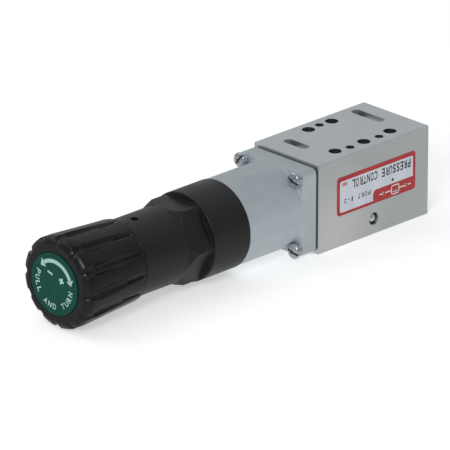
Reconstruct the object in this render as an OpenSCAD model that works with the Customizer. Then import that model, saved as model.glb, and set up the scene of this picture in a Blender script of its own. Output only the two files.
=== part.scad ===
// Sandwich-mounted pneumatic pressure regulator, millimetres.
// +X runs along the regulator axis from the knob to the far end of the block,
// +Z is up, and the origin is the centre of the block's lower mounting face.
// Stations along the axis are measured from the block's gasket face (station 0),
// positive into the block and negative towards the knob.

/* [Block] */
// Length of the block along the regulator axis
block_l = 45.6; // [45.6:0.1:52]
// Width of the block across the axis
block_w = 26.2; // [26.2:0.1:30]
// Height of the block between its two mounting faces
block_h = 27.6; // [27.6:0.1:32]
// Height of the regulator axis above the lower mounting face
axis_z = 13.8; // [13.8:0.05:14.2]
// Diameter of the air ports
port_d = 3.9; // [3:0.1:4.1]
// Diameter of the small mounting screw holes
screw_hole_d = 2.65; // [2:0.05:2.8]
// Depth of the milled pilot slots
slot_depth = 2; // [1:0.1:3]
// Width of the milled pilot slots
slot_w = 3; // [1.6:0.1:3.2]

/* [Nameplate] */
// Length of the nameplate
plate_l = 32.4; // [20:0.1:34]
// Height of the nameplate
plate_h = 11.9; // [8:0.1:12]
// Thickness of the nameplate
plate_t = 0.15; // [0.1:0.05:0.3]

/* [Spring housing] */
// Half width of the square flange
flange_half = 13; // [12.6:0.1:13.1]
// Thickness of the flange
flange_t = 5.4; // [4.5:0.1:6]
// Radius of the round boss
boss_r = 13.25; // [12.8:0.05:13.3]
// Screw distance from the axis, in both directions
screw_off = 11; // [10.3:0.1:11.1]
// Diameter of the screw heads
screw_head_d = 4.6; // [4:0.1:4.8]
// Height of the screw heads with their washers
screw_head_h = 2.7; // [2.4:0.1:3]

/* [Bonnet] */
// Radius of the round part of the bonnet
bonnet_r = 13.45; // [13:0.05:13.5]
// Width across the flats of the wrench hexagon
bonnet_af = 22.8; // [22:0.1:23]
// Radius over the turned corners of the hexagon
bonnet_corner_r = 13.1; // [12.8:0.05:13.2]
// Radius of the neck that the knob slides on
neck_r = 11.6; // [11.4:0.05:11.6]
// Diameter of the vent hole in the neck
vent_d = 2.2; // [1:0.1:2.2]

/* [Knob] */
// Radius over the grip at its widest place
knob_r = 13.85; // [13.3:0.05:13.85]
// Radius of the rear rim
knob_rear_r = 12.5; // [12.4:0.05:12.7]
// Number of grip grooves, with a raised land between each pair
flutes = 12; // [6:1:14]
// Travel of the knob between pulled out and pushed in
knob_travel = 2.5; // [2.5:0.1:2.6]
// Number of locking teeth
lock_teeth = 12; // [8:1:14]

/* [Hidden] */
$fn = 96;
e = 0.01;

// Stations along the axis
st_gasket = -0.8;                       // gasket, from here to 0
st_flange = st_gasket - flange_t;       // front face of the flange
st_joint = -27.7;                       // housing meets bonnet
st_spigot = -20.2;                      // inner end of the bonnet's threaded spigot
st_hex0 = -42.1;                        // rear of the wrench hexagon
st_hex1 = -50.3;                        // front of the wrench hexagon
st_wall1 = -52.6;                       // thrust face inside the bonnet
st_wall0 = -57;                         // front face of the bonnet's wall
st_neck = -78;                          // end of the neck, root of the lock teeth
tooth_h = knob_travel;                  // height of the lock teeth
st_vent = -62.2;
st_detent = -75;
st_skirt = -67.3;                       // rear rim of the knob, pulled out
st_web1 = -83.2;                        // rear face of the knob's web
st_web0 = -87.5;                        // front face of the knob's web
st_cap1 = -91.9;                        // rear face of the knob cap
st_knob0 = -92.5;                       // front face of the knob
st_cap0 = -92.9;                        // front face of the knob cap
st_seat = 20.6;                         // valve seat
st_plug = 37;                           // inner face of the end plug

hex_key_af = 6;                         // drive hexagon of the adjusting screw
nut_af = 17.2;                          // spring nut and its guide in the bonnet
housing_bore_r = 10;                    // bore that the piston runs in

// Draws children on the regulator axis: local +Z is the station, local angle
// 180 points up.
module on_axis() translate([-block_l / 2, 0, axis_z]) rotate([0, 90, 0]) children();
// A disc or tube between two stations
module tube(s0, s1, r, ri = 0) translate([0, 0, min(s0, s1)]) difference() {
    cylinder(r = r, h = abs(s1 - s0));
    if (ri > 0) translate([0, 0, -1]) cylinder(r = ri, h = abs(s1 - s0) + 2);
}
// A cone between two stations
module taper(s0, s1, r0, r1) translate([0, 0, s0]) cylinder(r1 = r0, r2 = r1, h = s1 - s0);
// A hexagonal bar between two stations, flats facing up and down
module hexbar(s0, s1, af) translate([0, 0, s0])
    rotate([0, 0, 30]) cylinder(r = af / 2 / cos(30), h = s1 - s0, $fn = 6);
// An O-ring centred at a station
module oring(s, rm, rw) translate([0, 0, s]) rotate_extrude() translate([rm, 0]) circle(r = rw, $fn = 32);
// A plain vertical hole in the block; x from the gasket face, y from the middle
module down(x, y, d, z0, z1) translate([x - block_l / 2, y, z0]) cylinder(d = d, h = z1 - z0, $fn = 48);
// A closed-end compression spring as a swept tube: s0 to s1, mean radius, wire
// diameter, total turns with one closed turn at each end
function spring_z(u, n, h, w) =
    let (c = 1, p = (h - w - 2 * c * w) / (n - 2 * c))
    u < c ? w / 2 + u * w : u > n - c ? h - w / 2 - (n - u) * w : w / 2 + c * w + (u - c) * p;
module coil(s0, s1, rm, w, n, per = 20, sides = 8) {
    h = s1 - s0;
    steps = round(n * per);
    pts = [for (i = [0:steps]) for (j = [0:sides - 1])
        let (a = 360 * n * i / steps, b = 360 * j / sides, r = rm + w / 2 * cos(b))
        [r * cos(a), r * sin(a), s0 + spring_z(n * i / steps, n, h, w) + w / 2 * sin(b)]];
    faces = concat(
        [[for (j = [0:sides - 1]) j]],
        [[for (j = [sides - 1:-1:0]) steps * sides + j]],
        [for (i = [0:steps - 1]) for (j = [0:sides - 1])
            [i * sides + j, (i + 1) * sides + j, (i + 1) * sides + (j + 1) % sides, i * sides + (j + 1) % sides]]);
    polyhedron(points = pts, faces = faces, convexity = 12);
}

// Block with stepped regulator bore, air ports, screw holes and pilot slots,
// the same pattern on both mounting faces
port_x = [11.65, 23, 34.35];
port_y = [-8.25, -8.75, -8.25];
screw_x = [17.0, 29.0];
screw_y = -9.1;
back_x = [18.3, 27.9];
back_y = 9.1;
back_screw = [23.1, 9.4];
slot_a = [7.7, -1.1, 8.1];
slot_b = [38.5, -1.4, 10.9];
ball_z = 4.7;
module pilot_slot(s, z0) {
    for (y = [s[1] + slot_w / 2, s[2] - slot_w / 2])
        down(s[0], y, slot_w, z0, z0 + slot_depth + 1);
    translate([s[0] - block_l / 2 - slot_w / 2, s[1] + slot_w / 2, z0])
        cube([slot_w, s[2] - s[1] - slot_w, slot_depth + 1]);
}
module body_block() color("#b7bbbd") difference() {
    translate([-block_l / 2, -block_w / 2, 0]) cube([block_l, block_w, block_h]);
    on_axis() {
        tube(-1, 4.5, 9);
        tube(4, 21, 4.8);
        tube(20.8, st_plug + 1, 5.3);
        tube(st_plug, block_l + 1, 6.5);
        for (a = [-1, 1]) for (b = [-1, 1])
            translate([a * screw_off, b * screw_off, -1]) cylinder(r = 1.43, h = 10.2, $fn = 32);
    }
    for (i = [0, 2]) down(port_x[i], port_y[i], port_d, -1, block_h + 1);
    // supply port, blind from below, and regulated port, blind from above
    down(port_x[1], port_y[1], port_d, -1, 6.6);
    down(port_x[1], port_y[1], port_d, 18, block_h + 1);
    // regulated air: slanting drill from the chamber round the seat insert
    translate([port_x[1] - block_l / 2, port_y[1], 19.8])
        multmatrix(look([-10.2, 5.75, -4.2])) cylinder(r = 1.2, h = 11.6, $fn = 32);
    // supply air: cross drill behind the ball, and riser to the bore
    translate([23 - block_l / 2, -block_w / 2 - 1, ball_z]) rotate([-90, 0, 0]) {
        cylinder(r = 1.72, h = 4.2, $fn = 48);
        cylinder(r = 1.5, h = block_w / 2 + 2.5, $fn = 48);
    }
    translate([23 - block_l / 2, -block_w / 2 - e, ball_z]) rotate([-90, 0, 0])
        cylinder(r1 = 1.95, r2 = 1.7, h = 0.26, $fn = 48);
    down(23, 0, 3, ball_z, 10);
    for (x = screw_x) down(x, screw_y, screw_hole_d, -1, block_h + 1);
    for (x = back_x) down(x, back_y, port_d, -1, block_h + 1);
    down(back_screw[0], back_screw[1], screw_hole_d, -1, block_h + 1);
    for (s = [slot_a, slot_b]) {
        pilot_slot(s, block_h - slot_depth);
        pilot_slot(s, -1);
        down(s[0], s[2] - slot_w / 2, slot_w - 0.3, -1, block_h + 1);
    }
}
// Rotation that turns +Z to a direction
function look(d) =
    let (w = d / norm(d), u0 = cross([0, 0, 1], w), u = u0 / norm(u0), v = cross(w, u))
    [[u[0], v[0], w[0], 0], [u[1], v[1], w[1], 0], [u[2], v[2], w[2], 0], [0, 0, 0, 1]];

// Printed plate on the front of the block
module nameplate() color("#d9dde2")
    translate([23.9 - block_l / 2, -block_w / 2, 15.45]) rotate([90, 0, 0])
    linear_extrude(plate_t) rounded(plate_l, plate_h, 1);
module rounded(w, h, r) union() {
    square([w - 2 * r, h], center = true);
    square([w, h - 2 * r], center = true);
    for (x = [-1, 1]) for (y = [-1, 1]) translate([x * (w / 2 - r), y * (h / 2 - r)]) circle(r = r, $fn = 32);
}

// Steel ball that closes the cross drill
module ball_plug() color("#c9cdd0")
    translate([23 - block_l / 2, -block_w / 2 + 1.78, ball_z]) sphere(r = 1.68, $fn = 48);

// Brass seat insert: head on the recess floor, chamber with four cross holes,
// seat lip towards the poppet
module seat_insert() color("#b8974a") on_axis() difference() {
    union() {
        tube(3, 4.5, 6.2);
        tube(4.5, 19.8, 4.75);
        taper(19.8, st_seat, 3, 2.45);
    }
    tube(2, st_seat + 1, 2);
    tube(10.5, 15.5, 6, 3.4);
    tube(6.7, 8.2, 6, 3.6);
    tube(17.3, 18.8, 6, 3.6);
    for (a = [0, 90]) translate([0, 0, 13]) rotate([90, 0, a]) translate([0, 0, -7]) cylinder(r = 1.1, h = 14, $fn = 32);
    translate([-0.6, -7, 2]) cube([1.2, 14, 1.8]);
}
module seat_o_rings() color("#1e1f22") on_axis() for (s = [7.45, 18.05]) oring(s, 4.18, 0.56);

// Poppet with stem towards the piston, rubber disc and return spring
module poppet() color("#c2a45c") on_axis() difference() {
    union() {
        tube(1, 21.5, 1.2);
        tube(20.95, 27, 3.6);
        tube(27, 33, 1.9);
    }
    tube(20, 21.5, 3.3, 1.2);
}
module poppet_disc() color("#26272a") on_axis() tube(20.7, 21.5, 3.28, 1.22);
module valve_spring() color("#a9adb1") on_axis() coil(27.05, 40.15, 2.62, 0.62, 9, 16, 6);

// Plug behind the poppet, with its key socket and ring groove
module end_plug() color("#a8acaf") on_axis() difference() {
    tube(st_plug + 0.02, block_l - 0.4, 6.45);
    tube(st_plug - 1, 40.2, 3.3);
    tube(41.1, 42.7, 8, 5.2);
    translate([0, 0, 42.1]) rotate([0, 0, 30]) cylinder(r = 5 / 2 / cos(30), h = 5, $fn = 6);
}
module end_plug_o_ring() color("#1e1f22") on_axis() oring(41.9, 5.82, 0.6);

// Gasket between block and spring housing
module housing_gasket() color("#3a4046") on_axis() difference() {
    translate([0, 0, st_gasket]) linear_extrude(-st_gasket) rounded(25.6, 25.6, 1.6);
    tube(st_gasket - 1, 1, 10.3);
    for (a = [-1, 1]) for (b = [-1, 1])
        translate([a * screw_off, b * screw_off, st_gasket - 1]) cylinder(r = 1.5, h = 3, $fn = 32);
}

// Die-cast spring housing: square flange and round boss with four flats
module spring_housing() color("#b8c2be") on_axis() difference() {
    union() {
        translate([0, 0, st_flange]) linear_extrude(flange_t) rounded(2 * flange_half, 2 * flange_half, 1.75);
        intersection() {
            tube(st_joint, st_flange + 0.5, boss_r);
            translate([-flange_half, -flange_half, st_joint - 1]) cube([2 * flange_half, 2 * flange_half, 30]);
        }
    }
    tube(st_joint - 1, st_spigot + 0.2, 11.5);
    tube(st_spigot, 1, housing_bore_r);
    for (a = [-1, 1]) for (b = [-1, 1]) translate([a * screw_off, b * screw_off, 0]) {
        translate([0, 0, st_flange - 1]) cylinder(r = 1.6, h = flange_t + 2, $fn = 32);
        // clearance for the screw head beside the boss
        translate([0, 0, st_flange - 5.3]) cylinder(r = screw_head_d / 2 + 0.2, h = 5.3, $fn = 64);
    }
}

// Four pan-head screws with slotted cross recess
module flange_screws() color("#c4c8cb") on_axis()
    for (a = [-1, 1]) for (b = [-1, 1]) translate([a * screw_off, b * screw_off, 0]) difference() {
        union() {
            tube(st_flange - 1.2, st_flange, screw_head_d / 2 - 0.3);
            intersection() {
                tube(st_flange - screw_head_h - 0.5, st_flange - 1.15, screw_head_d / 2);
                translate([0, 0, st_flange - screw_head_h + 5.4]) sphere(r = 5.4, $fn = 64);
            }
            tube(st_flange - 0.1, 8.5, 1.4);
        }
        rotate([0, 0, 22 + 31 * (a + 1) + 17 * (b + 1)]) {
            translate([-3, -0.36, st_flange - screw_head_h - 1]) cube([6, 0.72, 1.85]);
            translate([-0.3, -1.1, st_flange - screw_head_h - 1]) cube([0.6, 2.2, 1.95]);
        }
    }

// Sensing piston with relief hole, seal and spring rest
module piston() color("#a3a8ab") on_axis() difference() {
    union() {
        tube(-6.5, -1, 9.92);
        tube(-1.1, 0.95, 2.6);
        tube(-10.2, -6.4, 5.2);
    }
    tube(-12, 2, 0.8);
    tube(-4.6, -2.4, 12, 8.3);
    tube(-12, -4.8, 3);
}
module piston_seal() color("#1e1f22") on_axis() difference() {
    tube(-4.5, -2.5, 9.95, 8.35);
    tube(-3.9, -3.1, 12, 9.5);
}
module spring_rest() color("#b9b48f") on_axis() tube(-7.3, -6.52, 8.3, 5.25);
module range_spring() color("#7e8489") on_axis() coil(-44.45, -7.35, 7.35, 1.7, 9, 22, 8);

// Nut that slides in the bonnet's hexagonal guide and loads the spring
module spring_nut() color("#b8974a") on_axis() difference() {
    union() {
        intersection() {
            hexbar(-49.5, -44.5, nut_af);
            union() {
                tube(-48.9, -44.5, 9.75);
                taper(-49.5, -48.9, 9.2, 9.75);
            }
        }
        tube(-44.6, -42.4, 6.2);
    }
    tube(-60, -40, 3.05);
}

// Bonnet: threaded spigot, round body, wrench hexagon and neck with lock teeth
module bonnet() color("#1b1c1f") on_axis() difference() {
    union() {
        tube(st_joint - e, st_spigot, 11.4);
        taper(st_hex0, st_hex0 + 0.35, bonnet_r - 0.35, bonnet_r);
        tube(st_hex0 + 0.35, st_joint - 0.3, bonnet_r);
        taper(st_joint - 0.3, st_joint, bonnet_r, bonnet_r - 0.25);
        intersection() {
            hexbar(st_hex1, st_hex0 + e, bonnet_af);
            union() {
                tube(st_hex1 + 2.2, st_hex0 + e, bonnet_corner_r);
                taper(st_hex1, st_hex1 + 2.2, bonnet_corner_r - 1.35, bonnet_corner_r);
            }
        }
        tube(st_neck, st_hex1 + e, neck_r);
        for (i = [0:lock_teeth - 1]) rotate([0, 0, 360 * i / lock_teeth]) intersection() {
            tube(st_neck - tooth_h, st_neck + 0.5, 11.35, 10.3);
            translate([0, 0, st_neck - tooth_h - 1]) wedge(6.4, 14, tooth_h + 2);
        }
    }
    translate([0, 0, st_wall1]) rotate([0, 0, 30]) cylinder(r = (nut_af + 0.2) / 2 / cos(30), h = 40, $fn = 6);
    tube(st_neck - 4, st_wall0, 9.4);
    tube(-60, -50, 3.06);
    for (a = [0, 180]) rotate([0, 0, a]) translate([7, 0, st_wall0 - 1]) cylinder(r = 0.7, h = 7, $fn = 32);
    // groove for the detent ring
    tube(st_detent - 0.6, st_detent + 0.6, neck_r + 2, 10.9);
    translate([0, 0, st_vent]) rotate([0, 0, 185]) rotate([0, 90, 0]) cylinder(d = vent_d, h = 20, $fn = 32);
}
// A sector centred on local +X, half angle a, reaching to radius r
module wedge(a, r, h) linear_extrude(h)
    polygon([[0, 0], [r * cos(a), -r * sin(a)], [r / cos(a), 0], [r * cos(a), r * sin(a)]]);

module thrust_washer() color("#c9b26a") on_axis() tube(st_wall1 + 0.02, st_wall1 + 0.72, 5.6, 3.1);
module detent_ring() color("#8d9195") on_axis() difference() {
    tube(st_detent - 0.5, st_detent + 0.5, 11.68, 10.92);
    translate([0, 0, st_detent - 2]) wedge(8, 14, 4);
}

// Adjusting screw: thread, thrust collar, journal and hexagonal drive end
module adjusting_screw() color("#b4b8bb") on_axis() difference() {
    union() {
        taper(-35.6, -35, 3, 2.4);
        tube(-50.1, -35.6, 3);
        tube(-51.8, -50, 5);
        tube(-57.2, -51.7, 3);
        hexbar(-88.3, -57.1, hex_key_af);
        tube(-88.9, -88.2, 2.6);
    }
    tube(-88.35, -87.55, 5, 2.3);
}
module retaining_clip() color("#5f6468") on_axis() difference() {
    tube(-88.3, -87.6, 4.4, 2.33);
    translate([0, -1.6, -90]) cube([8, 3.2, 5]);
}

// Knob: grip with twelve raised lands that widen towards the front, skirt over the neck, web on the hexagon,
// lock teeth that meet the neck's teeth when it is pushed in
module knob() color("#1b1c1f") on_axis() difference() {
    union() {
        difference() {
            union() {
                taper(st_skirt - 0.3, st_skirt, knob_rear_r - 0.2, knob_rear_r - 0.4);
                tube(-68.3, st_skirt - 0.3, knob_rear_r - 0.2);
                tube(-69, -68.2, knob_rear_r);
                taper(-88, -69, knob_r, knob_rear_r);
                tube(-90.4, -88, knob_r);
                taper(-91.5, -90.4, knob_r - 0.7, knob_r);
                taper(-92.2, -91.5, knob_r - 1.65, knob_r - 0.7);
                taper(st_knob0, -92.2, knob_r - 2.35, knob_r - 1.65);
            }
            // grooves with a ball end behind the front rim, and a shallow notch over the rim
            for (i = [0:flutes - 1]) rotate([0, 0, 181.5 + 360 * i / flutes]) {
                translate([14.1, 0, -87.2]) sphere(r = 1.7, $fn = 32);
                translate([14.1, 0, -87.2]) cylinder(r = 1.7, h = 24, $fn = 32);
                translate([15.05, 0, -95]) cylinder(r = 1.7, h = 10, $fn = 32);
                translate([13.88, 0, -92.48]) rotate([0, 53.6, 0])
                    cylinder(r = 1.7, h = 8, center = true, $fn = 32);
            }
            tube(st_web1, -60, 11.75);
            tube(st_detent - 0.5, st_detent + 0.5, 11.9);
        }
        for (i = [0:lock_teeth - 1]) rotate([0, 0, 360 * (i + 0.5) / lock_teeth]) intersection() {
            tube(st_web1 - 0.5, st_web1 + tooth_h, 11.4, 10.3);
            translate([0, 0, st_web1 - 1]) wedge(6.4, 14, tooth_h + 2);
        }
        tube(st_web1 - 0.5, st_web1 + 1.2, 5.2);
    }
    hexbar(-95, -70, hex_key_af + 0.12);
    tube(-95, st_web0, 5.5);
    tube(-95, st_cap1, 9.4);
}
module knob_cap() color("#1f6f5c") on_axis() {
    tube(st_cap0, st_cap1, 9.35);
    tube(st_cap1 - e, st_cap1 + 1, 5.4, 4.6);
}

body_block();
nameplate();
ball_plug();
seat_insert();
seat_o_rings();
poppet();
poppet_disc();
valve_spring();
end_plug();
end_plug_o_ring();
housing_gasket();
spring_housing();
flange_screws();
piston();
piston_seal();
spring_rest();
range_spring();
spring_nut();
bonnet();
thrust_washer();
detent_ring();
adjusting_screw();
retaining_clip();
knob();
knob_cap();
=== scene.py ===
import math
import bmesh, bpy
import numpy as np
from mathutils import Matrix, Vector


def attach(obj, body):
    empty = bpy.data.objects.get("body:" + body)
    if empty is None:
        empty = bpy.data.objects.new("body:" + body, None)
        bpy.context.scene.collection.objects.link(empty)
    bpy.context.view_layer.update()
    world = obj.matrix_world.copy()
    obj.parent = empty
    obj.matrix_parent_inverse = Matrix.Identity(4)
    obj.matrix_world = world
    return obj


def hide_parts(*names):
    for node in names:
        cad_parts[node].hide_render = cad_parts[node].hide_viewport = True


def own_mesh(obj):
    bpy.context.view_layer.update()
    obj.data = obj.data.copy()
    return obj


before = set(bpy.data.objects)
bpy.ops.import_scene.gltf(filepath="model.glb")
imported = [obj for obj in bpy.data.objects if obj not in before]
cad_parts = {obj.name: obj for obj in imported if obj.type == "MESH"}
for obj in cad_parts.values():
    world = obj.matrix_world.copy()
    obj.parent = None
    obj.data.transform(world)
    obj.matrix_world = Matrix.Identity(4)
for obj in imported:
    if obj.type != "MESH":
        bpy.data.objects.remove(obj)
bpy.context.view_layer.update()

scene = bpy.context.scene
MM = 0.001
CX = 22.8          # station of the origin: half of the block's length
AXIS_Z = 13.8      # height of the regulator axis
NPHI = 720
PHI = np.arange(NPHI) * 2 * np.pi / NPHI
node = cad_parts

# ------------------------------------------------------------------ camera
AZ, EL, ROLL = map(math.radians, (44.85083, 22.12812, 0.15106))
DIST, OX, OY, PX_MM = 2437.1327, 3.49153833, 2.44661398, 3.4748933709
fwd = Vector((math.sin(AZ) * math.cos(EL), math.cos(AZ) * math.cos(EL), -math.sin(EL)))
right = Vector((math.cos(AZ), -math.sin(AZ), 0))
up = right.cross(fwd)
r2 = right * math.cos(ROLL) + up * math.sin(ROLL)
u2 = -right * math.sin(ROLL) + up * math.cos(ROLL)
eye = Vector((-20 - CX, 0, 13.8)) - fwd * DIST - r2 * OX - u2 * OY
cam_data = bpy.data.cameras.new("camera")
cam_data.sensor_width = 36
cam_data.lens = PX_MM * DIST * 36 / 450
cam_data.clip_start, cam_data.clip_end = 0.1, 20
cam = bpy.data.objects.new("camera", cam_data)
cam.matrix_world = Matrix.Translation(eye * MM) @ Matrix((r2, u2, -fwd)).transposed().to_4x4()
scene.collection.objects.link(cam)
scene.camera = cam


# --------------------------------------------------------------- mesh tools
def add_object(name, me):
    o = bpy.data.objects.new(name, me)
    scene.collection.objects.link(o)
    return o


def tidy(me, sharp=32, weld=1e-7):
    """Outward normals, smooth faces and sharp edges where the surface turns."""
    bm = bmesh.new()
    bm.from_mesh(me)
    bmesh.ops.remove_doubles(bm, verts=bm.verts, dist=weld)
    bmesh.ops.recalc_face_normals(bm, faces=bm.faces)
    for f in bm.faces:
        f.smooth = True
    lim = math.radians(sharp)
    for e in bm.edges:
        e.smooth = not (len(e.link_faces) == 2 and e.calc_face_angle(0) > lim)
    if bm.calc_volume(signed=True) < 0:
        bmesh.ops.reverse_faces(bm, faces=bm.faces)
    bm.to_mesh(me)
    bm.free()
    return me


def mesh_from(name, co, faces, sharp=32):
    me = bpy.data.meshes.new(name)
    me.from_pydata([tuple(c) for c in co], [], [tuple(f) for f in faces])
    return tidy(me, sharp)


def fillet(points, arc=4, closed=True):
    """Rounds the corners of a profile of (station, radius, fillet) points. Each
    value may vary with the angle. Returns stations and radii, one row a ring."""
    n = NPHI
    p = [np.stack([np.broadcast_to(np.asarray(q[0], float), (n,)), np.broadcast_to(np.asarray(q[1], float), (n,))], -1) for q in points]
    f = [np.broadcast_to(np.asarray(q[2] if len(q) > 2 else 0, float), (n,)) for q in points]
    rings, k = [], len(p)
    for i in range(k):
        if f[i].max() <= 0 or (not closed and i in (0, k - 1)):
            rings.append(p[i])
            continue
        a, b, c = p[i - 1], p[i], p[(i + 1) % k]
        la, lc = np.linalg.norm(a - b, axis=1), np.linalg.norm(c - b, axis=1)
        ua, uc = (a - b) / la[:, None], (c - b) / lc[:, None]
        cos = np.clip((ua * uc).sum(1), -0.9999, 0.9999)
        half = np.arccos(cos) / 2
        t = np.minimum(f[i] / np.tan(half), 0.47 * np.minimum(la, lc))
        w = np.sin(half)
        p0, p1 = b + ua * t[:, None], b + uc * t[:, None]
        for j in range(arc + 1):
            u = j / arc
            w0, w1, w2 = (1 - u) ** 2, 2 * w * u * (1 - u), u * u
            rings.append((w0 * p0 + w1[:, None] * b + w2 * p1) / (w0 + w1 + w2)[:, None])
    r = np.stack(rings)
    return r[:, :, 0], r[:, :, 1]


def turned(name, points, arc=4, closed=True, sharp=32, at=(0, AXIS_Z), axis="x", n=NPHI):
    """A solid with its profile turned about an axis parallel to X through at=(y, z).
    An open profile is closed at both ends with a small fan."""
    s, r = fillet(points, arc, closed)
    step = NPHI // n
    s, r = s[:, ::step], r[:, ::step]
    k = len(r)
    phi = PHI[::step]
    co = np.stack([(s - CX), at[0] - r * np.sin(phi), at[1] + r * np.cos(phi)], -1).reshape(-1, 3)
    faces = []
    for i in range(k if closed else k - 1):
        j = (i + 1) % k
        for q in range(n):
            q2 = (q + 1) % n
            faces.append((i * n + q, i * n + q2, j * n + q2, j * n + q))
    if not closed:
        co = np.vstack([co, [[s[0, 0] - CX, at[0], at[1]]], [[s[-1, 0] - CX, at[0], at[1]]]])
        for q in range(n):
            faces.append((k * n, (q + 1) % n, q))
            faces.append((k * n + 1, (k - 1) * n + q, (k - 1) * n + (q + 1) % n))
    return add_object(name, mesh_from(name, co * MM, faces, sharp))


def soft_min(a, b, k):
    h = np.clip(0.5 + 0.5 * (b - a) / k, 0, 1)
    return b + (a - b) * h - k * h * (1 - h)


def square_radius(half, corner):
    a, b = np.abs(np.cos(PHI)), np.abs(np.sin(PHI))
    flat = half / np.maximum(a, b)
    c = half - corner
    m = (a + b) * c
    disc = np.maximum(m * m - (2 * c * c - corner * corner), 0)
    return np.where(flat * np.minimum(a, b) <= c, flat, m + np.sqrt(disc))


def hex_radius(af, limit=None, k=0.12):
    d = (PHI + np.pi / 6) % (np.pi / 3) - np.pi / 6
    r = af / 2 / np.cos(d)
    return r if limit is None else soft_min(r, np.full(NPHI, float(limit)), k)


def near(centres_deg):
    """Signed angle in degrees from each sample to the nearest of evenly spaced centres."""
    first, pitch = centres_deg
    d = np.degrees(PHI) - first
    return (d + pitch / 2) % pitch - pitch / 2


def boolean(obj, cutters, op="DIFFERENCE"):
    """Applies exact booleans and removes the cutters."""
    for c in cutters:
        m = obj.modifiers.new("cut", "BOOLEAN")
        m.operation, m.solver, m.object = op, "EXACT", c
    bpy.context.view_layer.update()
    me = bpy.data.meshes.new_from_object(obj.evaluated_get(bpy.context.evaluated_depsgraph_get()))
    obj.modifiers.clear()
    obj.data = me
    for c in cutters:
        bpy.data.objects.remove(c)
    return obj


def rod(p, d, r, length, n=48, r2=None):
    """A plain cylinder or cone used as a cutter, from p along d, in millimetres."""
    bm = bmesh.new()
    bmesh.ops.create_cone(bm, cap_ends=True, segments=n, radius1=r * MM, radius2=(r if r2 is None else r2) * MM, depth=length * MM)
    rot = Vector(d).normalized().to_track_quat("Z", "Y").to_matrix().to_4x4()
    mid = Vector(p) + Vector(d).normalized() * length / 2
    bm.transform(Matrix.Translation(mid * MM) @ rot)
    me = bpy.data.meshes.new("cutter")
    bm.to_mesh(me)
    bm.free()
    return add_object("cutter", me)


def slab(lo, hi, turn=None, about=None):
    """A box used as a cutter, in millimetres, turned about the X axis through a point."""
    bm = bmesh.new()
    bmesh.ops.create_cube(bm, size=1)
    lo, hi = Vector(lo), Vector(hi)
    m = Matrix.Translation((lo + hi) / 2 * MM) @ Matrix.Diagonal(((hi - lo) * MM).to_4d())
    m[3][3] = 1
    if turn is not None:
        t = Matrix.Translation(Vector(about) * MM)
        m = t @ Matrix.Rotation(math.radians(turn), 4, "X") @ t.inverted() @ m
    bm.transform(m)
    me = bpy.data.meshes.new("cutter")
    bm.to_mesh(me)
    bm.free()
    return add_object("cutter", me)


def eased(name, bevel, segments=2, angle=28, sharp=20, skin=None):
    """A new mesh from a CAD node's shape with its edges broken. With skin given, only
    the edges between two faces for which skin(face) holds are broken."""
    me = node[name].data.copy()
    me.name = name + "_mesh"
    bm = bmesh.new()
    bm.from_mesh(me)
    bmesh.ops.remove_doubles(bm, verts=bm.verts, dist=2e-7)
    bmesh.ops.dissolve_limit(bm, angle_limit=math.radians(0.6), verts=bm.verts, edges=bm.edges)
    edges = [e for e in bm.edges if len(e.link_faces) == 2 and e.calc_face_angle(0) > math.radians(angle)]
    if skin:
        edges = [e for e in edges if all(skin(f) for f in e.link_faces)]
    if bevel:
        bmesh.ops.bevel(bm, geom=edges, offset=bevel * MM, segments=segments, profile=0.5, affect="EDGES", clamp_overlap=not skin, loop_slide=True)
        if min(f.calc_area() for f in bm.faces) < 1e-13:   # no room to round: keep the edges as they are
            bm.free()
            bpy.data.meshes.remove(me)
            return eased(name, 0, sharp=sharp)
    bmesh.ops.triangulate(bm, faces=[f for f in bm.faces if len(f.verts) > 4])
    bm.to_mesh(me)
    bm.free()
    me.materials.clear()
    if me.has_custom_normals:
        me.attributes.remove(me.attributes["custom_normal"])
    return add_object(name + "_finished", tidy(me, sharp))


def place(obj, body, *nodes, mat=None, slot=None, flat=True):
    if flat:
        m = obj.modifiers.new("flat_faces", "WEIGHTED_NORMAL")
        m.mode, m.weight, m.keep_sharp, m.thresh = "FACE_AREA", 80, True, 0.01
    if mat is not None:
        mats = mat if isinstance(mat, tuple) else (mat,)
        index = [min(q.material_index, len(mats) - 1) for q in obj.data.polygons]
        obj.data.materials.clear()
        for one in mats:
            obj.data.materials.append(one)
        obj.data.polygons.foreach_set("material_index", index)
    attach(obj, body)
    if nodes:
        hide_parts(*nodes)
    return obj


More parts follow.
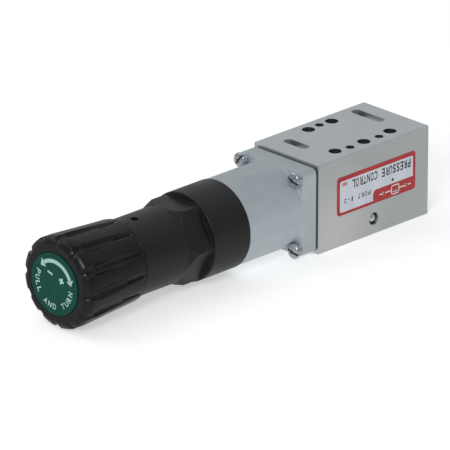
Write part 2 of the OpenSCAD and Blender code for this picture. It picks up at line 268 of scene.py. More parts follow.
# --------------------------------------------------------------- materials
class Shade:
    """A small helper round one Principled material in object millimetres."""

    def __init__(self, name, color, metallic=0.0, roughness=0.5, **sockets):
        self.mat = bpy.data.materials.new(name)
        self.mat.use_nodes = True
        self.nt = self.mat.node_tree
        self.nt.nodes.clear()
        self.out = self.nt.nodes.new("ShaderNodeOutputMaterial")
        self.bsdf = self.nt.nodes.new("ShaderNodeBsdfPrincipled")
        self.nt.links.new(self.bsdf.outputs[0], self.out.inputs[0])
        self.set("Base Color", (*color, 1))
        self.set("Metallic", metallic)
        self.set("Roughness", roughness)
        for k, v in sockets.items():
            self.set(k.replace("_", " "), v)
        self.coord = self.nt.nodes.new("ShaderNodeTexCoord").outputs["Object"]
        self.normal = None

    def set(self, key, value):
        self.bsdf.inputs[key].default_value = value

    def link(self, a, b):
        self.nt.links.new(a, b)

    def space(self, scale=(1, 1, 1), rotate=(0, 0, 0)):
        m = self.nt.nodes.new("ShaderNodeMapping")
        m.inputs["Scale"].default_value = [1000 * v for v in scale]
        m.inputs["Rotation"].default_value = rotate
        self.link(self.coord, m.inputs["Vector"])
        return m.outputs[0]

    def noise(self, scale, detail=4, rough=0.55, space=None, distortion=0.0):
        t = self.nt.nodes.new("ShaderNodeTexNoise")
        t.inputs["Scale"].default_value = scale
        t.inputs["Detail"].default_value = detail
        t.inputs["Roughness"].default_value = rough
        t.inputs["Distortion"].default_value = distortion
        self.link(space or self.space(), t.inputs["Vector"])
        return t.outputs["Fac"]

    def voronoi(self, scale, space=None, feature="F1"):
        t = self.nt.nodes.new("ShaderNodeTexVoronoi")
        t.feature = feature
        t.inputs["Scale"].default_value = scale
        self.link(space or self.space(), t.inputs["Vector"])
        return t.outputs["Distance"]

    def remap(self, value, a, b, lo, hi, clamp=True):
        m = self.nt.nodes.new("ShaderNodeMapRange")
        m.clamp = clamp
        for i, v in enumerate((a, b, lo, hi)):
            m.inputs[i + 1].default_value = v
        self.link(value, m.inputs[0])
        return m.outputs[0]

    def math(self, op, a, b=0.0):
        m = self.nt.nodes.new("ShaderNodeMath")
        m.operation = op
        for i, v in enumerate((a, b)):
            if isinstance(v, (int, float)):
                m.inputs[i].default_value = v
            else:
                self.link(v, m.inputs[i])
        return m.outputs[0]

    def mix(self, fac, a, b):
        m = self.nt.nodes.new("ShaderNodeMix")
        m.data_type = "RGBA"
        for key, v in ((0, fac), (6, a), (7, b)):
            if isinstance(v, (int, float)):
                m.inputs[key].default_value = v
            elif isinstance(v, tuple):
                m.inputs[key].default_value = (*v, 1)
            else:
                self.link(v, m.inputs[key])
        return m.outputs[2]

    def bump(self, height, strength, distance_mm):
        b = self.nt.nodes.new("ShaderNodeBump")
        b.inputs["Strength"].default_value = strength
        b.inputs["Distance"].default_value = distance_mm * MM
        self.link(height, b.inputs["Height"])
        if self.normal is not None:
            self.link(self.normal, b.inputs["Normal"])
        self.normal = b.outputs[0]
        self.link(self.normal, self.bsdf.inputs["Normal"])

    def color(self, out):
        self.link(out, self.bsdf.inputs["Base Color"])

    def rough(self, out):
        self.link(out, self.bsdf.inputs["Roughness"])


def metal(name, dark, light, rough=(0.3, 0.45), stretch=(0.05, 1, 1), grain=6, bump=0.12, worn=None, metallic=1.0, lit_patch=None):
    m = Shade(name, light, metallic, rough[0])
    fine = m.noise(grain, 3, 0.6, m.space(stretch))
    broad = m.noise(0.12, 3, 0.5)
    tone = m.math("MULTIPLY_ADD", fine, 0.55)
    m.link(m.math("MULTIPLY", broad, 0.45), tone.node.inputs[2])
    c = m.mix(m.remap(tone, 0.3, 0.7, 0, 1), dark, light)
    if worn:   # small dull marks from handling
        c = m.mix(m.math("MULTIPLY", m.remap(m.noise(0.9, 5, 0.7, distortion=0.6), 0.60, 0.70, 0, 1), 0.35), c, worn)
    if lit_patch:   # painted light: a brighter patch round one point, with a soft edge
        at, reach, tint = lit_patch
        v = m.nt.nodes.new("ShaderNodeVectorMath")
        v.operation = "DISTANCE"
        v.inputs[1].default_value = at
        m.link(m.space(), v.inputs[0])
        near_it = m.remap(v.outputs["Value"], reach, 2, 0, 1)
        c = m.mix(m.math("MULTIPLY", near_it, 0.9), c, tint)
    m.color(c)
    m.rough(m.remap(tone, 0.3, 0.7, rough[1], rough[0]))
    m.bump(fine, bump, 0.02)
    return m.mat


def plastic(name, dark, light, rough=(0.32, 0.46), grain=9, bump=0.25, scuff=None, **sockets):
    m = Shade(name, light, 0.0, rough[0], **sockets)
    g = m.noise(grain, 2, 0.5)
    broad = m.noise(0.2, 4, 0.6)
    c = m.mix(m.remap(broad, 0.35, 0.65, 0, 1), dark, light)
    if scuff:   # faint rubbed spots
        c = m.mix(m.math("MULTIPLY", m.remap(m.noise(0.7, 5, 0.7, distortion=0.5), 0.62, 0.74, 0, 1), 0.3), c, scuff)
    m.color(c)
    m.rough(m.remap(broad, 0.35, 0.7, rough[0], rough[1]))
    m.bump(g, bump, 0.012)
    return m.mat


M = {}
# painted light: the block's front face is lighter in a soft patch low down towards the housing end
M["block"] = metal("block_aluminium", (0.66, 0.69, 0.70), (0.76, 0.79, 0.80), (0.38, 0.48), (0.3, 1, 1), 5.5, 0.08, (0.56, 0.58, 0.59), lit_patch=((-17.0, -13.0, 5.0), 24, (0.93, 0.95, 0.94)))
# painted shade: this metal is mottled dark and stands for the shade inside the holes
M["bore"] = metal("block_bores", (0.10, 0.105, 0.11), (0.62, 0.64, 0.65), (0.30, 0.42), (1, 1, 1), 0.8, 0.10)
M["slot"] = metal("block_slots", (0.60, 0.62, 0.63), (0.76, 0.78, 0.79), (0.34, 0.46), (1, 1, 1), 3.5, 0.12)
M["steel"] = metal("bright_steel", (0.50, 0.51, 0.52), (0.66, 0.67, 0.68), (0.2, 0.34), (1, 1, 1), 3, 0.06, (0.42, 0.43, 0.44))
M["zinc"] = metal("screw_zinc", (0.50, 0.54, 0.58), (0.74, 0.78, 0.82), (0.22, 0.32), (1, 1, 1), 1.4, 0.05, (0.42, 0.46, 0.49))
M["ball"] = metal("plug_ball", (0.80, 0.81, 0.82), (0.92, 0.93, 0.94), (0.12, 0.2), (1, 1, 1), 2.5, 0.04)
# painted shade: a darker metal for the walls and floor of the screws' driving slots
M["recess"] = metal("screw_recess", (0.20, 0.22, 0.23), (0.38, 0.41, 0.43), (0.35, 0.5), (1, 1, 1), 3, 0.1)
M["brass"] = metal("brass", (0.50, 0.34, 0.12), (0.66, 0.48, 0.20), (0.24, 0.4), (1, 1, 1), 3, 0.06, (0.42, 0.29, 0.11))
M["spring"] = metal("spring_steel", (0.24, 0.25, 0.27), (0.40, 0.42, 0.44), (0.28, 0.42), (1, 1, 1), 4, 0.06)
M["piston"] = metal("piston_aluminium", (0.50, 0.52, 0.54), (0.64, 0.66, 0.68), (0.25, 0.38), (0.3, 1, 1), 5, 0.06)
M["paint"] = plastic("housing_paint", (0.42, 0.475, 0.495), (0.455, 0.515, 0.535), (0.34, 0.42), 1.6, 0.08, (0.55, 0.61, 0.63))
M["nylon"] = plastic("black_nylon", (0.0075, 0.0075, 0.008), (0.0105, 0.0105, 0.0115), (0.36, 0.46), 7, 0.16, (0.03, 0.031, 0.034), Specular_IOR_Level=0.45)
M["knob"] = plastic("knob_plastic", (0.006, 0.006, 0.0065), (0.009, 0.009, 0.010), (0.26, 0.36), 6, 0.14, (0.022, 0.023, 0.026), Specular_IOR_Level=0.32)
M["rubber"] = plastic("seal_rubber", (0.012, 0.012, 0.013), (0.02, 0.02, 0.022), (0.45, 0.6), 4, 0.2)
M["gasket"] = plastic("gasket_rubber", (0.030, 0.036, 0.042), (0.045, 0.052, 0.06), (0.5, 0.65), 3, 0.3)
M["green"] = plastic("cap_green", (0.0010, 0.058, 0.042), (0.0018, 0.070, 0.052), (0.28, 0.36), 2, 0.08, Specular_IOR_Level=0.16)
M["green_print"] = plastic("cap_print", (0.34, 0.53, 0.49), (0.42, 0.62, 0.57), (0.3, 0.4), 3, 0.05)
M["red"] = plastic("nameplate_red", (0.42, 0.018, 0.022), (0.50, 0.028, 0.030), (0.24, 0.34), 2, 0.05)
M["field"] = plastic("nameplate_field", (0.62, 0.66, 0.73), (0.70, 0.74, 0.80), (0.25, 0.36), 2, 0.05)
M["ink"] = plastic("nameplate_ink", (0.012, 0.012, 0.016), (0.02, 0.02, 0.026), (0.35, 0.45), 3, 0.05)
M["white_ink"] = plastic("nameplate_white", (0.75, 0.70, 0.70), (0.82, 0.78, 0.78), (0.3, 0.4), 3, 0.05)

# ----------------------------------------------------------- spring housing
outline = square_radius(13.0, 1.75)
a, b = np.abs(np.cos(PHI)), np.abs(np.sin(PHI))
boss = soft_min(np.full(NPHI, 13.25), 13.0 / np.maximum(a, b), 0.12)
boss = np.minimum(boss, outline - 0.006)
off = np.radians(near((45, 90)))
reach = math.hypot(11, 11)
inside = 2.48 ** 2 - (reach * np.sin(off)) ** 2
relief = np.where(inside > 0, reach * np.cos(off) - np.sqrt(np.maximum(inside, 0)), 99.0)


def boss_at(s):
    depth = np.clip((s + 11.4) / 1.6, 0, 1)
    cut = relief + (1 - depth ** 0.5) * 1.4
    return np.minimum(soft_min(boss, cut, 0.16), boss)


profile = [(-27.7, 11.5, 0.12), (-27.7, boss, 0.3)]
profile += [(s, boss_at(s)) for s in (-22, -17, -13, -11.5, -11.3, -11.0, -10.7, -10.4, -10.1, -9.8, -9.4, -8.4, -7.6)]
profile += [(-6.2, boss_at(-6.2), 0.7), (-6.2, outline, 0.35), (-0.8, outline, 0.14), (-0.8, 10.0, 0.1), (-20.0, 10.0), (-20.0, 11.5)]
housing = turned("spring_housing_cast", profile, 4, sharp=40)
boolean(housing, [rod((-9 - CX, y, z), (1, 0, 0), 1.6, 10, 32) for y in (-11, 11) for z in (AXIS_Z - 11, AXIS_Z + 11)])
tidy(housing.data, 40)
place(housing, "root", "spring_housing", mat=M["paint"], slot="housing_paint")

# ------------------------------------------------------------------ gasket
edge = square_radius(12.8, 1.6)
gasket = turned("housing_gasket_sheet", [(-0.8, edge - 0.02, 0.1), (-0.62, edge, 0.1), (-0.18, edge, 0.1), (0, edge - 0.02, 0.1), (0, 10.3), (-0.8, 10.3)], 2)
place(gasket, "root", "housing_gasket", mat=M["gasket"], slot="gasket_rubber")

# ------------------------------------------------------------------- block
skin_pts = [v.co / MM for v in node["body_block"].data.vertices]
lo, hi = (Vector([pick(p[k] for p in skin_pts) for k in range(3)]) for pick in (min, max))


def outer(f):
    """True for a face that lies in one of the block's six outer planes."""
    pts = [v.co / MM for v in f.verts]
    return any(max(abs(p[k] - plane[k]) for p in pts) < 0.01 for plane in (lo, hi) for k in range(3))


block = eased("body_block", 0.12, 2, skin=outer)
while len(block.data.materials) < 3:
    block.data.materials.append(None)
for q in block.data.polygons:
    pts = [block.data.vertices[i].co / MM for i in q.vertices]
    c = q.center / MM
    flat = any(max(abs(p[k] - plane[k]) for p in pts) < 0.01 for plane in (lo, hi) for k in range(3))
    corner = sum(abs(c[k] - plane[k]) < 0.3 for plane in (lo, hi) for k in range(3)) >= 2
    tall = max(p.z for p in pts) - min(p.z for p in pts)
    deep = max(min(hi.z - p.z, p.z) for p in pts)
    staked = max(math.hypot(p.x - (23 - CX), p.z - 4.7) for p in pts) < 2.4 and max(p.y for p in pts) < -9
    # painted shade: the walls of the deep holes and the recess round the staked ball take the dark bore metal
    q.material_index = 0 if flat or corner else 2 if deep < 2.2 and tall < 3 and not staked else 1
place(block, "root", "body_block", mat=(M["block"], M["bore"], M["slot"]), slot="block_aluminium", flat=False)


# ------------------------------------------------------------------- ball
def ball(name, c, r):
    bm = bmesh.new()
    bmesh.ops.create_icosphere(bm, subdivisions=5, radius=r * MM)
    for v in bm.verts:  # the small flat that the staking punch leaves
        v.co.y = max(v.co.y, -(r - 0.05) * MM)
    bm.transform(Matrix.Translation(Vector(c) * MM))
    me = bpy.data.meshes.new(name)
    bm.to_mesh(me)
    bm.free()
    return add_object(name, tidy(me, 50))


plug_ball = ball("ball_plug_staked", (23 - CX, -13.1 + 1.78, 4.7), 1.68)
place(plug_ball, "root", "ball_plug", mat=M["ball"], slot="bright_steel")

# ------------------------------------------------------------------ screws
screws = []
for (y, z, turn) in ((-11, 24.8, 23), (-11, 2.8, 16), (11, 24.8, -52), (11, 2.8, 20)):
    s0 = -6.2
    crown = [(s0 - 2.68 + 0.50 * (r / 2.15) ** 2, r) for r in (0.02, 0.7, 1.2, 1.6, 1.9)]
    pts = crown + [(s0 - 2.12, 2.22, 0.42), (s0 - 1.6, 2.3, 0.1), (s0 - 1.3, 2.3, 0.12), (s0 - 1.16, 2.1), (s0 - 1.1, 2.0, 0.05), (s0 - 0.62, 2.02, 0.03), (s0 - 0.58, 1.9), (s0 - 0.54, 2.02, 0.03), (s0, 2.0, 0.06),
                   (s0, 1.42, 0.1), (s0 + 6, 1.4), (8.1, 1.4, 0.1), (8.5, 0.9, 0.1), (8.5, 0.02)]
    o = turned("screw", pts, 3, closed=False, at=(y, z), n=120)
    c = (0, y, z)
    x0, x1 = s0 - 3.1 - CX, s0 - 1.85 - CX
    cutters = [slab((x0, y - 3, z - 0.36), (x1, y + 3, z + 0.36), turn, c),
               slab((x0, y - 0.24, z - 0.72), (x1 + 0.1, y + 0.24, z + 0.72), turn, c)]
    boolean(o, cutters)
    # painted shade: the walls and floor of the driving slot get the darker metal
    for q in o.data.polygons:   # the walls and the floor of the driving slot
        m = q.center / MM
        r, s = math.hypot(m.y - y, m.z - z), m.x + CX
        inner = s < s0 - 1.7 and r < 2.16 and (abs(q.normal.x) < 0.2 or s > s0 - 1.9)
        q.material_index = 1 if inner else 0
    screws.append(o)
bm = bmesh.new()
for o in screws:
    while len(o.data.materials) < 2:
        o.data.materials.append(None)
    bm.from_mesh(o.data)
    bpy.data.objects.remove(o)
edges = [e for e in bm.edges if len(e.link_faces) == 2 and e.calc_face_angle(0) > math.radians(45)]
bmesh.ops.remove_doubles(bm, verts=bm.verts, dist=1e-7)
me = bpy.data.meshes.new("flange_screws_mesh")
me.materials.append(None)
me.materials.append(None)
bm.to_mesh(me)
bm.free()
screw_set = add_object("flange_screw_set", tidy(me, 38))
place(screw_set, "root", "flange_screws", mat=(M["zinc"], M["recess"]), slot="screw_zinc")

# ------------------------------------------------------------------ bonnet
hexo = hex_radius(22.8, 13.1, 0.10)
front = hex_radius(22.8, 11.75, 0.10)
tooth = np.abs(near((0, 30))) < 6.4
hexi = hex_radius(17.4)
hexmid = [(s, soft_min(hex_radius(22.8, 13.1, 0.1), np.full(NPHI, 13.1 - 1.35 * (-48.1 - s) / 2.2 if s < -48.1 else 13.1), 0.06)) for s in (-48.0, -48.2, -48.6, -49.0, -49.4, -49.8)]
profile = [(-20.2, 11.4, 0.2), (-27.69, 11.4), (-27.7, 13.2), (-28.0, 13.45, 0.1), (-42.1, 13.45, 0.3), (-42.1, hexo, 0.12)]
profile += hexmid
profile += [(-50.3, front, 0.12), (-50.3, 11.6, 0.25), (-74.4, 11.6), (-74.4, 10.9), (-75.6, 10.9), (-75.6, 11.6), (-78, 11.6, 0.1), (-78, 11.35),
            (np.where(tooth, -80.5, -78.02), 11.33), (np.where(tooth, -80.5, -78.02), 10.32), (-78, 10.3), (-78, 9.4, 0.1), (-57, 9.4, 0.2),
            (-57, 3.06), (-52.6, 3.06), (-52.6, hexi, 0.1), (-20.2, hexi, 0.1)]
bonnet = turned("bonnet_moulding", profile, 4, sharp=36)
v = math.radians(5)
boolean(bonnet, [rod((-62.2 - CX, -8 * math.sin(v), AXIS_Z + 8 * math.cos(v)), (0, -math.sin(v), math.cos(v)), 1.1, 8, 40)])
tidy(bonnet.data, 36)
place(bonnet, "root", "bonnet", mat=M["nylon"], slot="black_nylon")

# -------------------------------------------------------------------- knob
groove = np.radians(near((1.5, 30)))
slit = near((2.5, 30))


def scoop(d, rc):
    """Radius left by a round groove whose centre line runs at distance d."""
    gap = rc * rc - (d * np.sin(groove)) ** 2
    return np.where(gap > 0, d * np.cos(groove) - np.sqrt(np.maximum(gap, 0)), 99.0)


def grip(s):
    xs = [-92.5, -92.3, -92.0, -91.6, -91.1, -90.6, -90.1, -88, -84, -80, -76, -72, -69, -67.3]
    rs = [11.75, 12.2, 12.72, 13.22, 13.6, 13.78, 13.84, 13.80, 13.50, 13.22, 12.94, 12.68, 12.5, 12.42]
    plain = float(np.interp(s, xs, rs))
    body = np.full(NPHI, plain)
    if s <= -86.5:  # the shallow notch that runs through the rim
        depth = 0.74 if s > -92.4 else 0.60
        body = np.minimum(soft_min(body, scoop(plain - depth + 1.75, 1.75), 0.10), body)
    rc = 1.75
    t = max(0.0, -87.2 - s) / 1.65
    if t < 1:
        rc = rc * (1 - t * t) ** 0.5
        if rc > 0.3:
            body = np.minimum(soft_min(body, scoop(14.12, rc), 0.09), body)
    if -76.05 <= s <= -69.75:
        body = body - 0.32 * np.clip((1.45 - np.abs(slit)) / 0.5, 0, 1)
    return np.maximum(body, 11.6)


ss = [-68.75, -69.3, -69.72, -69.78, -70.5, -71.5, -73, -75, -76.0, -76.1, -77.5, -79, -81, -83, -85, -86.4, -86.9, -87.3, -87.7, -88.0, -88.3, -88.5, -88.65, -88.78, -88.88,
      -89.2, -89.8, -90.3, -90.6, -90.85, -91.1, -91.35, -91.6, -91.8, -92.0, -92.15, -92.3]
profile = [(-67.3, 11.75, 0.1), (-67.3, 12.28, 0.42), (-68.14, 12.3, 0.3), (-68.22, 12.02), (-68.36, 12.02), (-68.42, grip(-68.5), 0.12)] + [(s, grip(s)) for s in ss]
profile += [(-92.5, grip(-92.5), 0.25), (-92.5, 9.45, 0.12),
            (-91.9, 9.4), (-91.9, 5.5), (-87.5, 5.5), (-87.5, hex_radius(6.12)), (-82.0, hex_radius(6.12)), (-82.0, 5.2), (-83.2, 5.2)]
ktooth = np.abs(near((15, 30))) < 6.4
profile += [(-83.2, 10.3), (np.where(ktooth, -80.7, -83.18), 10.32), (np.where(ktooth, -80.7, -83.18), 11.38), (-83.2, 11.4), (-83.2, 11.75)]
knob = turned("knob_moulding", profile, 4, sharp=36)
place(knob, "knob", "knob", mat=M["knob"], slot="knob_plastic")

# --------------------------------------------------------------- knob's disc
disc = turned("knob_disc", [(-92.86, 0.02), (-92.86, 9.33, 0.16), (-91.92, 9.35, 0.05), (-91.92, 5.4), (-90.92, 5.38, 0.1), (-90.92, 4.6), (-91.9, 4.6), (-91.9, 0.02)], 3, closed=False, n=240)
place(disc, "knob", "knob_cap", mat=M["green"], slot="cap_green")


def solid_polygon(bm, pts, lo, hi, axes):
    """A thin prism: pts are (u, v), lo and hi its levels, axes maps (u, v, w) to mm."""
    n = len(pts)
    lower = [bm.verts.new(Vector(axes(u, v, lo)) * MM) for u, v in pts]
    upper = [bm.verts.new(Vector(axes(u, v, hi)) * MM) for u, v in pts]
    fs = [bm.faces.new(lower), bm.faces.new(upper)]
    for i in range(n):
        fs.append(bm.faces.new((lower[i], lower[(i + 1) % n], upper[(i + 1) % n], upper[i])))
    return fs


def glyph(char, height, bold=0.0, width=None):
    """(vertices, faces) of one character, flat, centred in width, baseline at 0, as a thin solid."""
    cu = bpy.data.curves.new("glyph", "FONT")
    cu.body, cu.size, cu.extrude, cu.offset, cu.resolution_u = char, 1.0, 0.5, bold, 6
    o = bpy.data.objects.new("glyph", cu)
    scene.collection.objects.link(o)
    bpy.context.view_layer.update()
    me = bpy.data.meshes.new_from_object(o.evaluated_get(bpy.context.evaluated_depsgraph_get()))
    co = np.array([v.co for v in me.vertices]).reshape(-1, 3)
    faces = [tuple(p.vertices) for p in me.polygons]
    bpy.data.objects.remove(o)
    bpy.data.curves.remove(cu)
    bpy.data.meshes.remove(me)
    if len(co) == 0:
        return co, faces
    k = height / 0.729
    co[:, :2] *= k
    mid = (co[:, 0].min() + co[:, 0].max()) / 2
    co[:, 0] -= mid
    if width:
        co[:, 0] *= width / max(co[:, 0].max() - co[:, 0].min(), 1e-6)
    co[:, 2] = np.sign(co[:, 2])
    return co, faces


def add_glyph(bm, char, height, bold, width, place_fn):
    co, faces = glyph(char, height, bold, width)
    vs = [bm.verts.new(Vector(place_fn(*c)) * MM) for c in co]
    for f in faces:
        try:
            bm.faces.new([vs[i] for i in f])
        except ValueError:
            pass


def mend(bm):
    """Clears slivers and closes the pin holes that outlining a character can leave."""
    bmesh.ops.remove_doubles(bm, verts=bm.verts, dist=3e-7)
    bmesh.ops.dissolve_degenerate(bm, dist=3e-7, edges=bm.edges)
    bmesh.ops.delete(bm, geom=[e for e in bm.edges if not e.link_faces], context="EDGES")
    bmesh.ops.holes_fill(bm, edges=[e for e in bm.edges if e.is_boundary], sides=12)
    bmesh.ops.recalc_face_normals(bm, faces=bm.faces)


S_PRINT = (-92.90, -92.855)
SPIN = 15.0


def face_point(u, v, w):
    """u to the right and v up on the knob's face as seen from the front."""
    lo, hi = S_PRINT
    return ((lo + hi) / 2 - (hi - lo) / 2 * w - CX, -u, AXIS_Z + v)


def polar(r, deg):
    t = math.radians(deg)
    return r * math.sin(t), r * math.cos(t)


bm = bmesh.new()
r_arc, half_w, a0, a1 = 7.0, 0.58, -52 + SPIN, 52 + SPIN
arc = [a0 + (a1 - a0) * i / 40 for i in range(41)]
pts = [polar(r_arc + half_w, t) for t in arc] + [polar(r_arc - half_w, t) for t in reversed(arc)]
solid_polygon(bm, pts, -1, 1, face_point)
for tip, sign in ((a0, -1), (a1, 1)):
    solid_polygon(bm, [polar(r_arc + 1.45, tip - sign * 1), polar(r_arc, tip + sign * 13), polar(r_arc - 1.45, tip - sign * 1)], -1, 1, face_point)


def bar(r, deg, w, h, extra=0):
    cu, cv = polar(r, deg)
    t = math.radians(SPIN + extra)
    ex, ey = (math.cos(t), -math.sin(t)), (math.sin(t), math.cos(t))
    return [(cu + sx * w / 2 * ex[0] + sy * h / 2 * ey[0], cv + sx * w / 2 * ex[1] + sy * h / 2 * ey[1]) for sx, sy in ((-1, -1), (1, -1), (1, 1), (-1, 1))]


solid_polygon(bm, bar(3.5, -42 + SPIN, 2.1, 0.62), -1, 1, face_point)
cu, cv = polar(3.5, 44 + SPIN)
t = math.radians(SPIN + 8)
ex, ey = (math.cos(t), -math.sin(t)), (math.sin(t), math.cos(t))
arm, th = 0.98, 0.31
cross = [(-arm, -th), (-th, -th), (-th, -arm), (th, -arm), (th, -th), (arm, -th), (arm, th), (th, th), (th, arm), (-th, arm), (-th, th), (-arm, th)]
solid_polygon(bm, [(cu + p * ex[0] + q * ey[0], cv + p * ex[1] + q * ey[1]) for p, q in cross], -1, 1, face_point)
TEXT = "PULL AND TURN"
span = 190.0
for i, ch in enumerate(TEXT):
    if ch == " ":
        continue
    th0 = 180 + SPIN + span / 2 - span * i / (len(TEXT) - 1)
    rc = 7.55
    tt = math.radians(th0)
    tx, ty = -math.cos(tt), math.sin(tt)
    nx, ny = -math.sin(tt), -math.cos(tt)
    bu, bv = polar(rc, th0)

    def put(u, v, w, bu=bu, bv=bv, tx=tx, ty=ty, nx=nx, ny=ny):
        return face_point(bu + u * tx + v * nx, bv + u * ty + v * ny, w)

    add_glyph(bm, ch, 1.75, 0.022, 1.35, put)
me = bpy.data.meshes.new("knob_print")
mend(bm)
bm.to_mesh(me)
bm.free()
prints = add_object("knob_print", tidy(me, 40, 1e-8))
place(prints, "knob", mat=M["green_print"], slot="cap_green")

# --------------------------------------------------------------- nameplate
PX0, PX1, PZ0, PZ1 = 7.7, 40.1, 9.5, 21.4


def plate_point(u, v, w):
    return (u - CX, -13.1 - w, v)


def round_rect(x0, x1, z0, z1, r, n=8):
    pts = []
    for cx, cz, t0 in ((x1 - r, z1 - r, 0), (x0 + r, z1 - r, 90), (x0 + r, z0 + r, 180), (x1 - r, z0 + r, 270)):
        pts += [(cx + r * math.cos(math.radians(t0 + 90 * i / n)), cz + r * math.sin(math.radians(t0 + 90 * i / n))) for i in range(n + 1)]
    return pts


def thin(name, outlines, lo, hi, mat, slot, bevel=0.0):
    bm = bmesh.new()
    for pts in outlines:
        solid_polygon(bm, pts, lo, hi, plate_point)
    if bevel:
        es = [e for e in bm.edges if all(abs(-v.co.y / MM - 13.1 - hi) < 1e-4 for v in e.verts)]
        bmesh.ops.bevel(bm, geom=es, offset=bevel * MM, segments=2, profile=0.5, affect="EDGES")
    me = bpy.data.meshes.new(name)
    bm.to_mesh(me)
    bm.free()
    o = add_object(name, tidy(me, 40, 1e-8))
    return place(o, "root", mat=mat, slot=slot)


base = thin("nameplate_film", [round_rect(PX0, PX1, PZ0, PZ1, 1.0)], 0.0, 0.11, M["red"], "nameplate_print", 0.03)
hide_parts("nameplate")
tab_x, tab_z, tr = 22.5, 13.7, 1.3
fieldpts = [(8.75 + 0.4, 20.1), (8.75, 19.7), (8.75, 10.8), (9.15, 10.4), (tab_x, 10.4)]
fieldpts += [(tab_x + tr - tr * math.cos(math.radians(a)), tab_z - tr + tr * math.sin(math.radians(a))) for a in range(0, 91, 10)]
fieldpts += [(39.05, tab_z), (39.05, 19.7), (38.65, 20.1)]
thin("nameplate_field", [fieldpts], 0.10, 0.128, M["field"], "nameplate_print")
bm = bmesh.new()


def row(text, x_first, x_last, z_base, height, bold, width, level=(0.12, 0.146)):
    """Characters upside down: the row starts at the right and its tops point down."""
    lo, hi = level
    for i, ch in enumerate(text):
        if ch == " ":
            continue
        cx = x_first + (x_last - x_first) * i / (len(text) - 1)
        add_glyph(bm, ch, height, bold, width if ch not in "1I-" else {"1": 0.46, "I": 0.3, "-": 0.62}[ch] * width,
                  lambda u, v, w: plate_point(cx - u, z_base - v, lo + (hi - lo) * (w + 1) / 2))


row("PRESSURE CONTROL", 37.4, 14.4, 19.4, 2.7, 0.02, 1.2)
row("PORT 1-2", 20.9, 11.0, 14.3, 1.5, 0.012, 1.0)
me = bpy.data.meshes.new("nameplate_print")
circle = [(30.6 + 0.42 * math.cos(t * math.pi / 12), 14.85 + 0.42 * math.sin(t * math.pi / 12)) for t in range(24)]
solid_polygon(bm, circle, 0.12, 0.146, plate_point)
mend(bm)
bm.to_mesh(me)
bm.free()
place(add_object("nameplate_print", tidy(me, 40, 1e-8)), "root", mat=M["ink"], slot="nameplate_print")
# small red tick marks at the top left
thin("nameplate_marks", [[(x, 18.5), (x + 0.42, 18.5), (x + 0.42, 19.5), (x, 19.5)] for x in (9.75, 10.45, 11.15)], 0.12, 0.146, M["red"], "nameplate_print")


# generic symbol of a pressure regulator on the red tab
def stroke(p, q, w):
    d = Vector((q[0] - p[0], q[1] - p[1]))
    d.normalize()
    nx, nz = -d.y * w / 2, d.x * w / 2
    return [(p[0] + nx, p[1] + nz), (q[0] + nx, q[1] + nz), (q[0] - nx, q[1] - nz), (p[0] - nx, p[1] - nz)]


sym = [stroke((25.2, 11.6), (30.0, 11.6), 0.36), stroke((33.4, 11.6), (38.2, 11.6), 0.36)]
sym += [stroke((30.0, 10.28), (33.4, 10.28), 0.34), stroke((30.0, 12.92), (33.4, 12.92), 0.34), stroke((30.17, 10.2), (30.17, 13.0), 0.34), stroke((33.23, 10.2), (33.23, 13.0), 0.34)]
sym += [stroke((30.7, 11.0), (32.4, 11.0), 0.26), [(31.95, 10.6), (32.95, 11.0), (31.95, 11.4)]]
sym += [[(26.4, 11.0), (27.6, 11.6), (26.4, 12.2)], [(35.8, 11.0), (37.0, 11.6), (35.8, 12.2)]]
thin("nameplate_symbol", sym, 0.105, 0.132, M["white_ink"], "nameplate_print")


# ----------------------------------------------------------------- springs
def coil(name, s0, s1, rm, w, n, per=48, sides=14, dead=1.0):
    h = s1 - s0
    steps = int(n * per)

    def level(u):
        p = (h - w - 2 * dead * w) / (n - 2 * dead)
        if u < dead:
            return w / 2 + u * w
        if u > n - dead:
            return h - w / 2 - (n - u) * w
        return w / 2 + dead * w + (u - dead) * p

    u = np.linspace(0, n, steps + 1)
    s = np.array([s0 + level(t) for t in u])
    ang = 2 * np.pi * u
    path = np.stack([s - CX, -rm * np.sin(ang), AXIS_Z + rm * np.cos(ang)], -1)
    tan = np.gradient(path, axis=0)
    tan /= np.linalg.norm(tan, axis=1)[:, None]
    rad = np.stack([np.zeros_like(ang), -np.sin(ang), np.cos(ang)], -1)
    binorm = np.cross(tan, rad)
    binorm /= np.linalg.norm(binorm, axis=1)[:, None]
    rad = np.cross(binorm, tan)
    q = np.arange(sides) * 2 * np.pi / sides
    co = path[:, None, :] + w / 2 * (np.cos(q)[None, :, None] * rad[:, None, :] + np.sin(q)[None, :, None] * binorm[:, None, :])
    co[:, :, 0] = np.clip(co[:, :, 0], s0 - CX, s1 - CX)
    co = co.reshape(-1, 3)
    faces = [(i * sides + j, i * sides + (j + 1) % sides, (i + 1) * sides + (j + 1) % sides, (i + 1) * sides + j) for i in range(steps) for j in range(sides)]
    faces += [tuple(range(sides)), tuple(steps * sides + j for j in reversed(range(sides)))]
    return add_object(name, mesh_from(name, co * MM, faces, 50))


rs = coil("range_spring_wire", -44.45, -7.35, 7.35, 1.7, 9)
place(rs, "root", "range_spring", mat=M["spring"], slot="spring_steel")
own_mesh(rs)
vs = coil("valve_spring_wire", 27.05, 40.15, 2.62, 0.62, 9, 36, 10)
place(vs, "root", "valve_spring", mat=M["spring"], slot="spring_steel")
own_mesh(vs)

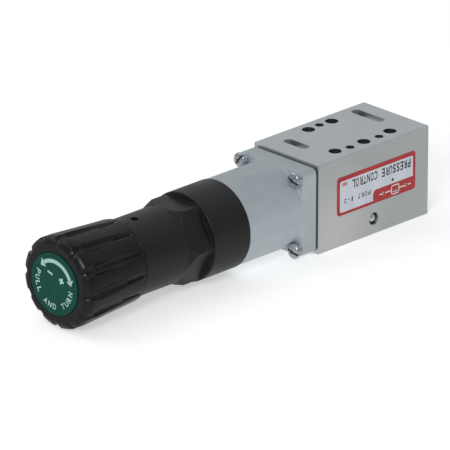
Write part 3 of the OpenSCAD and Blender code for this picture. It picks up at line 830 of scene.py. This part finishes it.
# -------------------------------------------------- pieces inside the object
for name, body, mat, slot, bevel in (
    ("seat_insert", "root", "brass", "brass", 0.06), ("end_plug", "root", "steel", "bright_steel", 0.15),
    ("seat_o_rings", "root", "rubber", "seal_rubber", 0), ("end_plug_o_ring", "root", "rubber", "seal_rubber", 0),
    ("thrust_washer", "root", "brass", "brass", 0.05), ("detent_ring", "root", "spring", "spring_steel", 0.05),
    ("poppet", "poppet", "brass", "brass", 0.08), ("poppet_disc", "poppet", "rubber", "seal_rubber", 0.05),
    ("piston", "piston", "piston", "piston_aluminium", 0.1), ("piston_seal", "piston", "rubber", "seal_rubber", 0.05),
    ("spring_rest", "piston", "steel", "bright_steel", 0.06), ("spring_nut", "spring_nut", "brass", "brass", 0.1),
    ("adjusting_screw", "adjusting_screw", "steel", "bright_steel", 0.1), ("retaining_clip", "adjusting_screw", "spring", "spring_steel", 0.05),
):
    if bevel:
        place(eased(name, bevel), body, name, mat=M[mat], slot=slot, flat=False)
    else:
        o = node[name]
        for s in o.material_slots:
            s.link = "OBJECT"
            s.material = M[mat]

# ------------------------------------------------------------------- stage
me = bpy.data.meshes.new("floor")
me.from_pydata([(-3, -3, -0.00006), (3, -3, -0.00006), (3, 3, -0.00006), (-3, 3, -0.00006)], [], [(0, 1, 2, 3)])
floor = add_object("floor", me)
fm = Shade("floor_paper", (0.90, 0.90, 0.90), 0.0, 0.85, Specular_IOR_Level=0.1, Emission_Color=(1, 1, 1, 1), Emission_Strength=0.49)
me.materials.append(fm.mat)
floor.visible_glossy = False   # glossy faces mirror the soft grey of the studio instead
# painted shade: a dark card under the block, seen only down the through holes, stands in for the shade there
me = bpy.data.meshes.new("card")
me.from_pydata([(x * MM, y * MM, -0.00004) for x, y in ((-22.6, -12.9), (22.6, -12.9), (22.6, 12.9), (-22.6, 12.9))], [], [(0, 1, 2, 3)])
card = add_object("card", me)
me.materials.append(Shade("card_painted_shade", (0.10, 0.10, 0.10), 0.0, 0.9, Specular_IOR_Level=0.05).mat)


def area(name, loc, target, size, power, color=(1, 1, 1), shape=None):
    d = bpy.data.lights.new(name, "AREA")
    d.energy, d.size, d.color = power, size if not isinstance(size, tuple) else size[0], color
    if isinstance(size, tuple):
        d.shape, d.size_y = "RECTANGLE", size[1]
    o = bpy.data.objects.new(name, d)
    scene.collection.objects.link(o)
    o.location = loc
    o.rotation_euler = (Vector(target) - Vector(loc)).to_track_quat("-Z", "Y").to_euler()
    return o


def sky(away, lo, hi, edge0, edge1, ground):
    """A smooth tent: dim on the camera's side, brighter above and behind the object,
    and an even soft grey below the horizon."""
    world = bpy.data.worlds.new("world")
    scene.world = world
    world.use_nodes = True
    nt = world.node_tree
    bg = nt.nodes["Background"]
    tc = nt.nodes.new("ShaderNodeTexCoord")

    def ramp(value, e0, e1):
        r = nt.nodes.new("ShaderNodeMapRange")
        r.interpolation_type = "SMOOTHSTEP"
        for i, v in enumerate((e0, e1, 0, 1)):
            r.inputs[i + 1].default_value = v
        nt.links.new(value, r.inputs[0])
        return r.outputs[0]

    def mix(fac, a, b):
        m = nt.nodes.new("ShaderNodeMix")
        m.data_type = "RGBA"
        nt.links.new(fac, m.inputs[0])
        for k, v in ((6, a), (7, b)):
            if isinstance(v, tuple):
                m.inputs[k].default_value = (*v, 1)
            else:
                nt.links.new(v, m.inputs[k])
        return m.outputs[2]

    dot = nt.nodes.new("ShaderNodeVectorMath")
    dot.operation = "DOT_PRODUCT"
    dot.inputs[1].default_value = away
    nt.links.new(tc.outputs["Generated"], dot.inputs[0])
    parts = nt.nodes.new("ShaderNodeSeparateXYZ")
    nt.links.new(tc.outputs["Generated"], parts.inputs[0])
    above = mix(ramp(dot.outputs["Value"], edge0, edge1), lo, hi)
    nt.links.new(mix(ramp(parts.outputs[2], -0.12, 0.02), ground, above), bg.inputs[0])


back = Vector((math.sin(AZ) * math.cos(0.6), math.cos(AZ) * math.cos(0.6), math.sin(0.6)))
sky(back, (0.26, 0.265, 0.27), (0.49, 0.505, 0.52), 0.0, 1.0, (0.51, 0.51, 0.505))
area("overhead", (-0.35, 0.60, 0.80), (-0.03, 0, 0), (0.8, 0.8), 1.9, (1.0, 0.99, 0.98))
key = Vector((-0.744, -0.41, 0.52)) * 0.9
area("key", key, (-0.06, 0, 0.014), (0.30, 0.22), 2.3, (0.97, 0.98, 1.0))
scene.view_settings.view_transform = "Standard"
scene.view_settings.look = "None"
scene.view_settings.exposure = 0.0
scene.view_settings.gamma = 1.0
